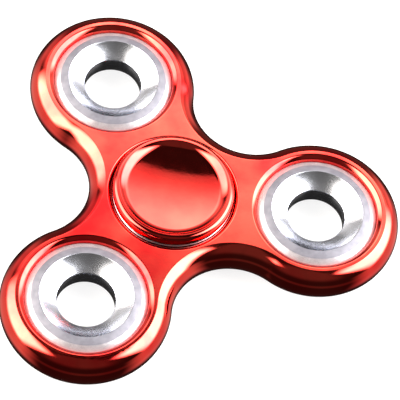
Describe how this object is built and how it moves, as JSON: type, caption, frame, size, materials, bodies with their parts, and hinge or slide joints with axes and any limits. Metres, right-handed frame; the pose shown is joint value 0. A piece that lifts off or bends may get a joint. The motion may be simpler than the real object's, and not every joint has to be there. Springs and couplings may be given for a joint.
{
  "type": "fidget spinner",
  "caption": "Lobed finger spinner whose plated frame turns on a central ball bearing, with a ring weight in each lobe and dished finger caps.",
  "frame": {"origin": "centre of the bearing, on the spin axis at mid thickness", "axes": "+Z along the spin axis, out of the top cap; +X from the spin axis towards the centre of lobe 1; lobes 2 and 3 at 120 and 240 degrees about +Z"},
  "size_m": [0.0705, 0.0766, 0.0114],
  "materials": {
    "plated_frame": "moulded plastic with a bright red metallic plating",
    "plated_cap": "turned cap with a bright red metallic plating",
    "plated_weight": "steel ring weight, bright silver plating",
    "race_steel": "ground bearing steel",
    "ball_steel": "polished bearing steel",
    "cage_steel": "pressed steel strip",
    "shield_steel": "pressed steel sheet"
  },
  "bodies": {
    "hub": {"top_cap": "plated_cap", "bottom_cap": "plated_cap", "bearing_inner_ring": "race_steel"},
    "rotor": {"frame": "plated_frame", "weight_ring_1": "plated_weight", "weight_ring_2": "plated_weight", "weight_ring_3": "plated_weight", "bearing_outer_ring": "race_steel", "shield_top": "shield_steel", "shield_bottom": "shield_steel", "shield_clip_top": "ball_steel", "shield_clip_bottom": "ball_steel"},
    "ball_cage": {"cage_upper": "cage_steel", "cage_lower": "cage_steel", "cage_rivets": "cage_steel"},
    "ball_1": {"bearing_ball_1": "ball_steel"},
    "ball_2": {"bearing_ball_2": "ball_steel"},
    "ball_3": {"bearing_ball_3": "ball_steel"},
    "ball_4": {"bearing_ball_4": "ball_steel"},
    "ball_5": {"bearing_ball_5": "ball_steel"},
    "ball_6": {"bearing_ball_6": "ball_steel"},
    "ball_7": {"bearing_ball_7": "ball_steel"}
  },
  "joints": [
    {"name": "rotor_spin", "type": "hinge", "parent": "hub", "child": "rotor", "pos_m": [0, 0, 0], "axis": [0, 0, 1], "continuous": true},
    {"name": "ball_cage_spin", "type": "hinge", "parent": "hub", "child": "ball_cage", "pos_m": [0, 0, 0], "axis": [0, 0, 1], "continuous": true},
    {"name": "ball_1_spin", "type": "hinge", "parent": "ball_cage", "child": "ball_1", "pos_m": [0.0075, 0, 0], "axis": [0, 0, 1], "continuous": true},
    {"name": "ball_2_spin", "type": "hinge", "parent": "ball_cage", "child": "ball_2", "pos_m": [0.00468, 0.00586, 0], "axis": [0, 0, 1], "continuous": true},
    {"name": "ball_3_spin", "type": "hinge", "parent": "ball_cage", "child": "ball_3", "pos_m": [-0.00167, 0.00731, 0], "axis": [0, 0, 1], "continuous": true},
    {"name": "ball_4_spin", "type": "hinge", "parent": "ball_cage", "child": "ball_4", "pos_m": [-0.00676, 0.00325, 0], "axis": [0, 0, 1], "continuous": true},
    {"name": "ball_5_spin", "type": "hinge", "parent": "ball_cage", "child": "ball_5", "pos_m": [-0.00676, -0.00325, 0], "axis": [0, 0, 1], "continuous": true},
    {"name": "ball_6_spin", "type": "hinge", "parent": "ball_cage", "child": "ball_6", "pos_m": [-0.00167, -0.00731, 0], "axis": [0, 0, 1], "continuous": true},
    {"name": "ball_7_spin", "type": "hinge", "parent": "ball_cage", "child": "ball_7", "pos_m": [0.00468, -0.00586, 0], "axis": [0, 0, 1], "continuous": true}
  ],
  "couplings": [
    {"joint": "ball_cage_spin", "follows": "rotor_spin", "ratio": 0.6323},
    {"joint": "ball_1_spin", "follows": "rotor_spin", "ratio": 1.7573},
    {"joint": "ball_2_spin", "follows": "rotor_spin", "ratio": 1.7573},
    {"joint": "ball_3_spin", "follows": "rotor_spin", "ratio": 1.7573},
    {"joint": "ball_4_spin", "follows": "rotor_spin", "ratio": 1.7573},
    {"joint": "ball_5_spin", "follows": "rotor_spin", "ratio": 1.7573},
    {"joint": "ball_6_spin", "follows": "rotor_spin", "ratio": 1.7573},
    {"joint": "ball_7_spin", "follows": "rotor_spin", "ratio": 1.7573}
  ]
}
